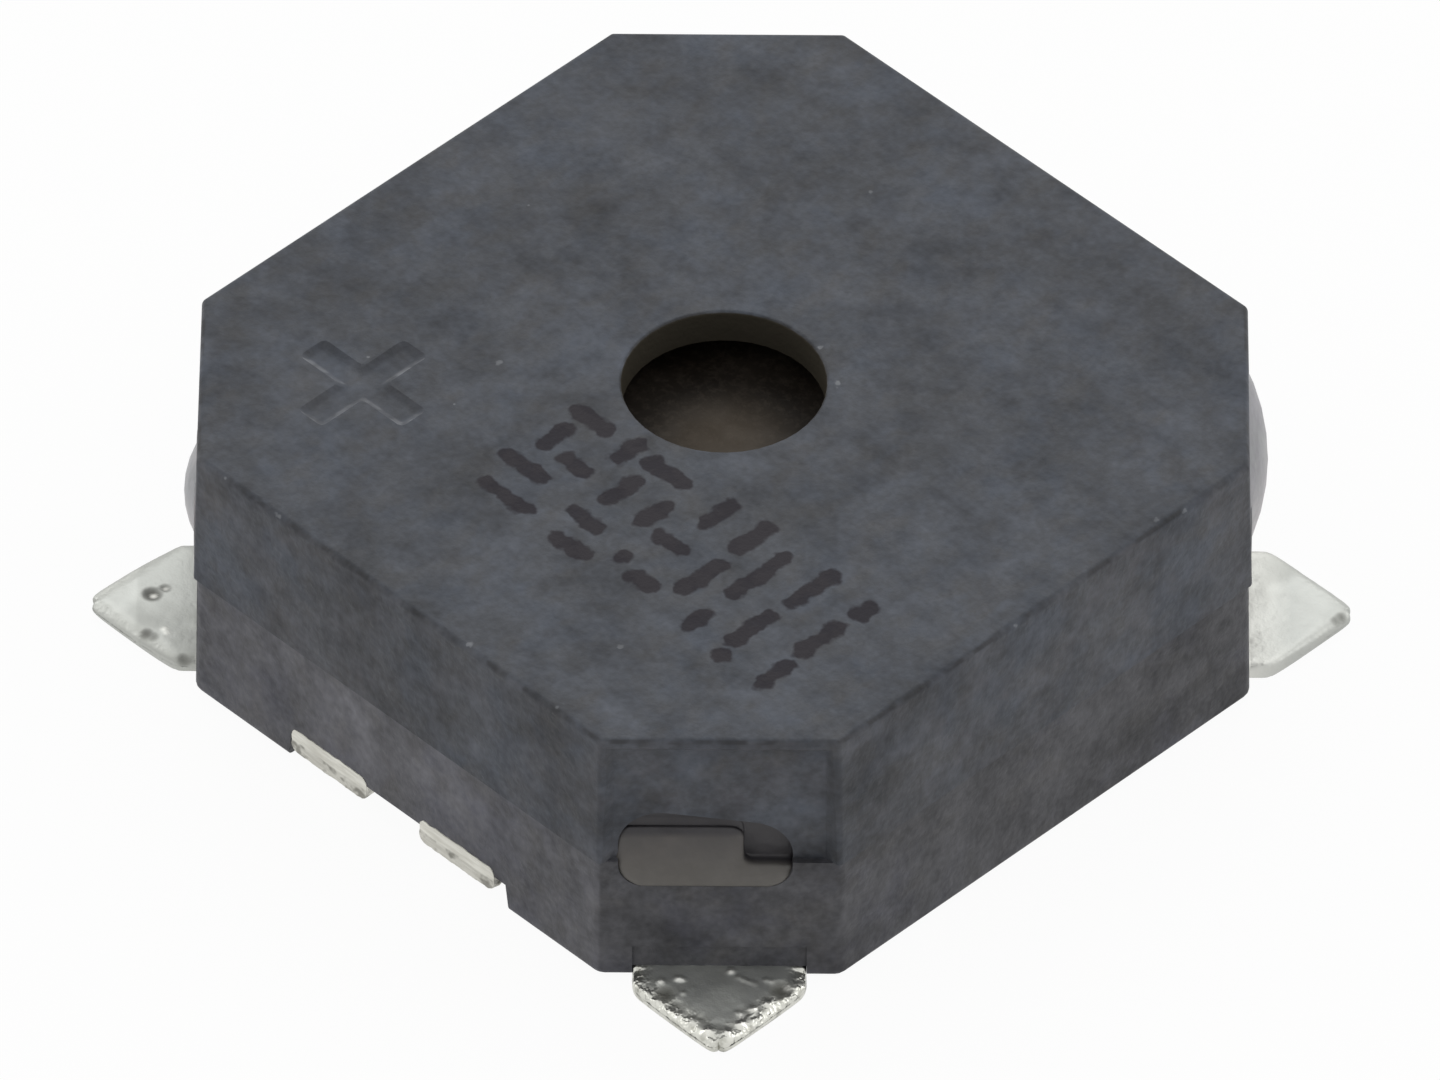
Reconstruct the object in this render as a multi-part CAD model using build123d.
from build123d import *
import os
from math import atan2, degrees, sqrt

# Surface-mount magnetic buzzer: an 8.5 mm square case of two moulded halves, with four
# solder terminals at its bevelled corners and a coil, ring magnet and diaphragm inside.
#
# Frame: millimetres, +Z up. The origin is the centre of the mounting plane, on which the
# undersides of the terminals rest. The tie bars leave the case on the -Y and +Y sides.

# ---------------------------------------------------------------------------------------
# Driving dimensions
# ---------------------------------------------------------------------------------------

# Case outline, shared by the two mouldings
case_side = 8.5
case_height = 2.92
stand_off = 0.08            # underside of the case above the mounting plane
bevel_leg = 1.575           # corner bevel, measured along a side of the case
seam_height = 1.42          # joint of cover and base, above the underside
edge_round = 0.07

# Cover moulding
cover_draft = 0.045         # the top edge stands in from the joint by this much, each side
top_wall = 0.36
side_wall = 0.47            # beside the base's spigot, in the middle of a side
sound_hole_diameter = 1.9
sound_hole_round = 0.04
panel_recess = 0.09         # sunk panel on each bevel, below the bevel at the joint
panel_lip = 0.035           # lip left round the panel
panel_flank = 0.11          # width of the slope from lip to panel
chamber_height = 0.54       # diaphragm to the roof above it
ledge_width = 0.20          # ledge that overhangs the rim of the diaphragm
ledge_gap = 0.10            # diaphragm to the ledge above it

# Base moulding
base_draft = 0.03           # the top edge stands in from the underside by this much
base_corner_round = 0.15    # upright edges, which are blunter than the cover's
spigot_wall = 0.45          # ring that stands up into the cover and carries the diaphragm
spigot_clearance = 0.03     # radial, spigot to cover
staking_window_diameter = 3.0
tie_notch_width = 2.84
tie_notch_shift = 0.03      # notch centre from the middle of the side, towards +X
tie_notch_height = 0.31
tie_notch_depth = 0.35
tie_notch_flare = 0.05      # each end of the notch leans out by this much at the underside
relief_height = 0.27        # shallow recess in the bevel, over each terminal
relief_depth = 0.04

# Wiring windows: pockets in the bevels that straddle the joint
window_width = 1.6
window_bottom = 1.12        # above the underside
window_top = 2.04           # at its higher end, towards the nearer of the -Y and +Y sides
window_top_fall = 0.22      # the other end is lower by this much
window_top_radius = 0.40
window_bottom_radius = 0.25
window_shift = 0.13         # towards the nearer of the -Y and +Y sides
pocket_depth = 0.94
lead_slot_gap = 0.06        # from the lead to the wall of its slot, all round

# Terminals: bent strip with a pointed solder foot
terminal_thickness = 0.18
terminal_width = 1.6
terminal_reach = 1.0        # point of the foot beyond the bevel
terminal_tip_round = 0.12
terminal_shoulder_round = 0.22
terminal_bend = 0.10        # inside radius of the bend
terminal_leg_width = 0.9
terminal_leg_height = 1.40  # top of the leg above the mounting plane
terminal_leg_inset = 0.66   # outer face of the leg behind the bevel

# Yoke plate with its tie bars
yoke_thickness = 0.21
yoke_lift = 0.14            # underside of the plate above the underside of the case
yoke_edge_grip = 0.15       # rim of the plate moulded into the base
tie_bar_width = 0.94
tie_bar_pitch = 1.68
tie_bar_shift = -0.06       # middle of the two bars from the middle of the side
tie_bar_setback = 0.02      # cut ends behind the side of the case

# Magnetic circuit
core_diameter = 1.7
core_foot_diameter = 1.1
core_top_chamfer = 0.05
air_gap = 0.12              # core to diaphragm
washer_thickness = 0.05
coil_clearance = 0.10       # radial, core to winding
coil_share = 0.5263         # share of the room between core and base, the magnet has the rest
coil_height = 1.22
coil_chamfer = 0.10
magnet_clearance = 0.15     # radial, magnet to base
magnet_gap = 0.30           # radial, winding to magnet
magnet_height = 0.80
magnet_chamfer = 0.05

# Diaphragm and armature
diaphragm_thickness = 0.05
diaphragm_clearance = 0.15  # radial, diaphragm to the edge of its seat
armature_diameter = 3.2
armature_thickness = 0.25
armature_chamfer = 0.04

# Coil leads and their solder
lead_diameter = 0.10
lead_end_gap = 0.01         # lead to winding and to terminal leg
lead_start_drop = 0.12      # lead below the top of the winding where it starts
lead_end_drop = 0.01        # end of the lead below the top of the leg
solder_radius = 0.20
solder_above = 0.14         # top of the solder above the end of the lead
solder_below = 0.20         # underside of the solder below the end of the lead

# Sealing resin in the windows
resin_setback = 0.10        # face of the resin behind the bevel in the two spare corners
resin_sunk = 0.40           # the same, round the fill in the part-filled front window
resin_end = 0.20            # end of the high part of that fill from the middle of the bevel
resin_level = 1.80          # top of the high part above the underside of the case
resin_step_level = 1.31     # top of the low part, which runs on to the window's end
resin_step_round = 0.10
resin_fill_chamfer = 0.07
positive_dome_bulge = 0.11  # beyond the bevel
positive_dome_radius = 0.43
positive_dome_side = 0.13   # centre from the middle of the bevel
positive_dome_lift = 1.63   # centre above the underside of the case
negative_dome_bulge = 0.155
negative_dome_radius = 0.75
negative_dome_side = 0.28
negative_dome_lift = 1.72

# ---------------------------------------------------------------------------------------
# Derived positions
# ---------------------------------------------------------------------------------------

case_bottom = stand_off
seam = case_bottom + seam_height
case_top = case_bottom + case_height
bevel_radius = (case_side - bevel_leg) / sqrt(2)    # bevel face from the axis
bevel_width = bevel_leg * sqrt(2)
panel_top = case_top - panel_lip - panel_flank      # upper edge of a sunk panel's floor
ceiling = case_top - top_wall

yoke_bottom = case_bottom + yoke_lift
floor_top = yoke_bottom + yoke_thickness
spigot_bore_diameter = case_side - 2 * (side_wall + spigot_clearance + spigot_wall)
bore_radius = spigot_bore_diameter / 2
spigot_radius = bore_radius + spigot_wall
pocket_back = bevel_radius - pocket_depth
leg_outer = bevel_radius - terminal_leg_inset
leg_inner = leg_outer - terminal_thickness
relief_top = terminal_thickness + relief_height
lead_end_height = terminal_leg_height - lead_end_drop

diaphragm_radius = spigot_radius - diaphragm_clearance
diaphragm_top = ceiling - chamber_height
diaphragm_height = diaphragm_top - diaphragm_thickness
chamber_diameter = 2 * (diaphragm_radius - ledge_width)
core_top = diaphragm_height - air_gap
coil_bottom = floor_top + washer_thickness
coil_bore_radius = core_diameter / 2 + coil_clearance
coil_top = coil_bottom + coil_height
magnet_radius = bore_radius - magnet_clearance
coil_build = coil_share * (magnet_radius - magnet_gap - coil_bore_radius)
coil_radius = coil_bore_radius + coil_build
magnet_wall = magnet_radius - magnet_gap - coil_radius

# The lead runs straight from the winding to the leg, and its slot follows it
lead_start = coil_radius + lead_end_gap
lead_end = leg_inner - lead_end_gap
lead_start_height = coil_top - lead_start_drop
lead_slope = (lead_start_height - lead_end_height) / (lead_end - lead_start)
lead_bore_height = lead_end_height + lead_slope * (lead_end - bore_radius)
lead_room = lead_diameter / 2 + lead_slot_gap       # from the lead's middle to its slot's wall

# Corner name: direction about Z in degrees, and the sense in which the window is shifted
corners = {
    "positive": (225, 1),
    "negative": (45, 1),
    "front": (-45, -1),
    "back": (135, -1),
}

# Corners where a lead is soldered: bulge, radius, side and lift of the resin dome
wired = {
    "positive": (positive_dome_bulge, positive_dome_radius, positive_dome_side,
                 positive_dome_lift),
    "negative": (negative_dome_bulge, negative_dome_radius, negative_dome_side,
                 negative_dome_lift),
}

# Working solids run past the faces that they cut by this much
over = 0.5


# ---------------------------------------------------------------------------------------
# Shared forms
# ---------------------------------------------------------------------------------------

def at_corner(shape, corner):
    """Turn a shape drawn on the +X axis to the direction of a corner."""
    return Rot(0, 0, corners[corner][0]) * shape


def disc(radius, bottom, top):
    """A round solid on the axis between two heights."""
    return Pos(0, 0, bottom) * extrude(Circle(radius), top - bottom)


def ring(inner, outer, bottom, top):
    """A round ring on the axis between two heights."""
    return Pos(0, 0, bottom) * extrude(Circle(outer) - Circle(inner), top - bottom)


def case_block(bottom, top, draft):
    """The bevelled square of the case between two heights, drawn in towards its top."""
    outline = chamfer(Rectangle(case_side, case_side).vertices(), bevel_leg)
    taper = degrees(atan2(draft, top - bottom))
    return Pos(0, 0, bottom) * extrude(outline, top - bottom, taper=taper)


def upright_edges(block):
    """The edges of a case block that run between its lower and upper faces."""
    return [edge for edge in block.edges() if abs(edge.tangent_at(0.5).Z) > 0.5]


def edge_at(body, x, z):
    """The edges of a body that run along Y through the given X and Z."""
    return [edge for edge in body.edges().filter_by(Axis.Y)
            if abs(edge.center().X - x) < 1e-4 and abs(edge.center().Z - z) < 1e-4]


def window_outline(corner):
    """Outline of a wiring window in the plane of its bevel: X along it, Y up."""
    near = corners[corner][1] * window_width / 2
    low = case_bottom + window_bottom
    high = case_bottom + window_top
    outline = make_face(Polyline((near, low), (near, high), (-near, high - window_top_fall),
                                 (-near, low), close=True))
    lower = outline.vertices().sort_by(Axis.Y)[:2]
    outline = fillet(lower, window_bottom_radius)
    upper = outline.vertices().sort_by(Axis.Y)[-2:]
    outline = fillet(upper, window_top_radius)
    return Pos(window_shift * corners[corner][1], 0) * outline


def pushed_out(outline, start, end):
    """Extrude an outline of the bevel's plane along +X, from one radius to another."""
    return extrude(Plane.YZ.offset(start) * outline, end - start)


def window_space(corner, face=bevel_radius + over):
    """The pocket behind a wiring window, out to the given radius, on the +X axis."""
    return pushed_out(window_outline(corner), pocket_back, face)


def lead_slot():
    """The slot for a lead, from the bore to the pocket of a window, on the +X axis."""
    low = lead_end_height - lead_room
    high = lead_bore_height + lead_room
    return Pos(bore_radius - over, 0, low) * Box(
        pocket_back - bore_radius + 2 * over, 2 * lead_room, high - low,
        align=(Align.MIN, Align.CENTER, Align.MIN))


# ---------------------------------------------------------------------------------------
# Metal inserts of the base
# ---------------------------------------------------------------------------------------

def terminal():
    """One terminal on the +X axis: pointed foot, bend and upright leg."""
    tip = bevel_radius + terminal_reach
    half = terminal_width / 2
    foot_end = tip + over
    section = Plane.XZ * make_face(Polyline(
        (leg_inner, 0), (foot_end, 0), (foot_end, terminal_thickness),
        (leg_outer, terminal_thickness), (leg_outer, terminal_leg_height),
        (leg_inner, terminal_leg_height), close=True))
    strip = extrude(section, half, both=True)
    heel = edge_at(strip, leg_inner, 0)
    strip = fillet(heel, terminal_bend + terminal_thickness)
    crook = edge_at(strip, leg_outer, terminal_thickness)
    strip = fillet(crook, terminal_bend)

    foot = make_face(Polyline((0, -half), (tip - half, -half), (tip, 0), (tip - half, half),
                              (0, half), close=True))
    point = foot.vertices().sort_by(Axis.X)
    foot = fillet(point[-1], terminal_tip_round)
    shoulders = [v for v in foot.vertices() if abs(v.X - (tip - half)) < 0.01]
    foot = fillet(shoulders, terminal_shoulder_round)
    strip = strip & extrude(foot, terminal_leg_height + over)

    shoulder_height = terminal_thickness + 2 * terminal_bend
    spare = (terminal_width - terminal_leg_width) / 2
    for side in (-1, 1):
        middle = side * (terminal_leg_width + spare) / 2
        trim = Pos(leg_inner - over, middle, shoulder_height) * Box(
            2 * over + 2 * terminal_thickness, spare, terminal_leg_height,
            align=(Align.MIN, Align.CENTER, Align.MIN))
        strip = strip - trim
    return strip


def yoke_plate():
    """Round plate with a hole for the core's foot and two tie bars on each open side."""
    plate = Circle(bore_radius + yoke_edge_grip)
    reach = case_side / 2 - tie_bar_setback
    for side in (-1, 1):
        for bar in (-1, 1):
            middle = tie_bar_shift + bar * tie_bar_pitch / 2
            plate = plate + Pos(middle, side * reach / 2) * Rectangle(tie_bar_width, reach)
    plate = plate - Circle(core_foot_diameter / 2)
    return Pos(0, 0, yoke_bottom) * extrude(plate, yoke_thickness)


# ---------------------------------------------------------------------------------------
# Mouldings
# ---------------------------------------------------------------------------------------

def sunk_panel():
    """Cutter for the sunk panel of the cover's bevel, on the +X axis."""
    floor = bevel_radius - panel_recess
    mouth = bevel_radius
    half = bevel_width / 2 - panel_lip - panel_flank
    slope = panel_flank / panel_recess
    spread = panel_flank + over * slope
    low = seam - over

    def frame(radius, grow):
        width = 2 * (half + grow)
        height = panel_top + grow - low
        outline = Pos(0, low + height / 2) * Rectangle(width, height)
        return Plane.YZ.offset(radius) * outline

    return loft([frame(floor, 0), frame(mouth + over, spread)])


def cover():
    """Upper half: thin roof with the sound hole, and a bore that takes the base's spigot."""
    body = case_block(seam, case_top, cover_draft)
    rim = body.faces().sort_by(Axis.Z)[-1].edges()
    body = fillet(upright_edges(body) + list(rim), edge_round)
    body = body - disc(spigot_radius + spigot_clearance, seam - over, diaphragm_top + ledge_gap)
    body = body - disc(chamber_diameter / 2, seam, ceiling)
    body = body - disc(sound_hole_diameter / 2, ceiling - over, case_top + over)
    mouth = [e for e in body.edges().filter_by(GeomType.CIRCLE)
             if abs(e.radius - sound_hole_diameter / 2) < 1e-4]
    body = fillet(ShapeList(mouth).sort_by(Axis.Z)[-1], sound_hole_round)
    for corner in corners:
        body = body - at_corner(sunk_panel(), corner)
        body = body - at_corner(window_space(corner), corner)
    for corner in wired:
        body = body - at_corner(lead_slot(), corner)
    return body


def tie_notches():
    """Cutters for the notches round the tie bars in the -Y and +Y sides."""
    low = case_bottom - over
    high = case_bottom + tie_notch_height
    lean = tie_notch_flare * (high - low) / tie_notch_height
    half = tie_notch_width / 2
    outline = make_face(Polyline((-half - lean, low), (half + lean, low),
                                 (half, high), (-half, high), close=True))
    outline = Pos(tie_notch_shift, 0) * outline
    wall = case_side / 2 - tie_notch_depth
    notch = extrude(Plane.XZ.offset(wall) * outline, tie_notch_depth + over)
    return [notch, mirror(notch, Plane.XZ)]


def base(inserts):
    """Lower half: floor round the metal inserts, spigot, and a pocket at each bevel."""
    body = case_block(case_bottom, seam, base_draft)
    body = fillet(upright_edges(body), base_corner_round)
    body = fillet(body.faces().sort_by(Axis.Z)[0].edges(), edge_round)
    body = body + ring(bore_radius, spigot_radius, floor_top, diaphragm_height)
    body = body - disc(bore_radius, floor_top, seam + over)
    body = body - disc(staking_window_diameter / 2, case_bottom - over, floor_top)
    for notch in tie_notches():
        body = body - notch
    relief = Pos(bevel_radius - relief_depth, 0, relief_top) * Box(
        relief_depth + over, terminal_width, relief_height,
        align=(Align.MIN, Align.CENTER, Align.MAX))
    for corner in corners:
        body = body - at_corner(relief, corner)
        body = body - at_corner(window_space(corner), corner)
    for corner in wired:
        body = body - at_corner(lead_slot(), corner)
    for insert in inserts:
        body = body - insert
    return body


# ---------------------------------------------------------------------------------------
# Magnetic circuit and diaphragm
# ---------------------------------------------------------------------------------------

def pole_core():
    """Turned core with a stepped foot that is staked into the yoke plate."""
    body = disc(core_diameter / 2, floor_top, core_top)
    body = chamfer(body.edges().sort_by(Axis.Z)[-1], core_top_chamfer)
    return body + disc(core_foot_diameter / 2, yoke_bottom, floor_top)


def coil():
    """Self-bonded winding, as one closed ring with its outer rims drawn in."""
    winding = ring(coil_bore_radius, coil_radius, coil_bottom, coil_top)
    outer = [e for e in winding.edges().filter_by(GeomType.CIRCLE)
             if abs(e.radius - coil_radius) < 1e-4]
    return chamfer(outer, coil_chamfer)


def ring_magnet():
    """Ring magnet that stands on the yoke plate round the coil."""
    magnet = ring(magnet_radius - magnet_wall, magnet_radius, floor_top,
                  floor_top + magnet_height)
    rims = magnet.edges().filter_by(GeomType.CIRCLE)
    return chamfer(rims, magnet_chamfer)


def armature():
    """Iron disc welded to the middle of the diaphragm."""
    body = disc(armature_diameter / 2, diaphragm_top, diaphragm_top + armature_thickness)
    return chamfer(body.edges().sort_by(Axis.Z)[-1], armature_chamfer)


# ---------------------------------------------------------------------------------------
# Wiring and sealing
# ---------------------------------------------------------------------------------------

def coil_lead():
    """Lead wire from the winding to the leg of a terminal, on the +X axis."""
    route = Line((lead_start, 0, lead_start_height), (lead_end, 0, lead_end_height))
    section = Plane(origin=route @ 0, z_dir=route % 0) * Circle(lead_diameter / 2)
    return extrude(section, route.length)


def solder_joint(lead, leg):
    """Slug of solder round the end of a lead at the top of a terminal's leg."""
    middle = leg_inner + terminal_thickness / 2
    bead = Pos(middle, 0, lead_end_height - solder_below) * Cylinder(
        solder_radius, solder_above + solder_below,
        align=(Align.CENTER, Align.CENTER, Align.MIN))
    return (bead & window_space("positive")) - lead - leg


def resin_dome(corner):
    """Swelling of the resin over a window, down into the sunk panel, on the +X axis."""
    bulge, radius, side, lift = wired[corner]
    sphere_radius = (radius**2 + bulge**2) / (2 * bulge)
    centre = Pos(bevel_radius + bulge - sphere_radius, side, case_bottom + lift)
    ball = centre * Rot(0, 90, 0) * Sphere(sphere_radius)
    outside = Pos(bevel_radius - panel_recess, 0, relief_top) * Box(
        over, bevel_width - 2 * panel_lip, panel_top - relief_top,
        align=(Align.MIN, Align.CENTER, Align.MIN))
    return ball & outside


def resin_plug(corner, setback=0.0):
    """Resin that fills the pocket of a window, up to its bevel less a setback."""
    return window_space(corner, bevel_radius - setback)


def part_filled_plug(corner):
    """Resin that is sunk behind its window, but for a fill at the window's foot and near end."""
    near = corners[corner][1] * window_width
    low = case_bottom + window_bottom - over
    step = case_bottom + resin_step_level
    level = case_bottom + resin_level
    outline = make_face(Polyline((near, low), (-near, low), (-near, step), (resin_end, step),
                                 (resin_end, level), (near, level), close=True))
    bends = [v for v in outline.vertices() if abs(v.X - resin_end) < 1e-4]
    outline = fillet(bends, resin_step_round)
    fill = pushed_out(outline, pocket_back, bevel_radius - resin_setback)
    fill = chamfer(fill.faces().sort_by(Axis.X)[-1].edges(), resin_fill_chamfer)
    return resin_plug(corner, resin_sunk) + (resin_plug(corner) & fill)


# ---------------------------------------------------------------------------------------
# Assembly
# ---------------------------------------------------------------------------------------

leg = terminal()
terminals = {f"terminal_{corner}": at_corner(leg, corner) for corner in corners}
yoke = yoke_plate()
upper = cover()
lower = base([yoke, *terminals.values()])
lead = coil_lead()
solder = solder_joint(lead, leg)

parts = {
    "cover": upper,
    "base": lower,
    "yoke_plate": yoke,
    "pole_core": pole_core(),
    "insulating_washer": ring(coil_bore_radius, coil_radius, floor_top, coil_bottom),
    "coil": coil(),
    "ring_magnet": ring_magnet(),
    "diaphragm": disc(diaphragm_radius, diaphragm_height, diaphragm_top),
    "armature": armature(),
    **terminals,
}
for corner in wired:
    filling = resin_plug(corner) - leg - lead - solder
    swelling = at_corner(resin_dome(corner), corner) - upper - lower
    parts[f"coil_lead_{corner}"] = at_corner(lead, corner)
    parts[f"solder_joint_{corner}"] = at_corner(solder, corner)
    parts[f"resin_plug_{corner}"] = at_corner(filling, corner) + swelling
parts["resin_plug_front"] = at_corner(part_filled_plug("front") - leg, "front")
parts["resin_plug_back"] = at_corner(resin_plug("back", resin_setback) - leg, "back")

os.makedirs("parts", exist_ok=True)
for name, solid in parts.items():
    export_step(solid, f"parts/{name}.step")
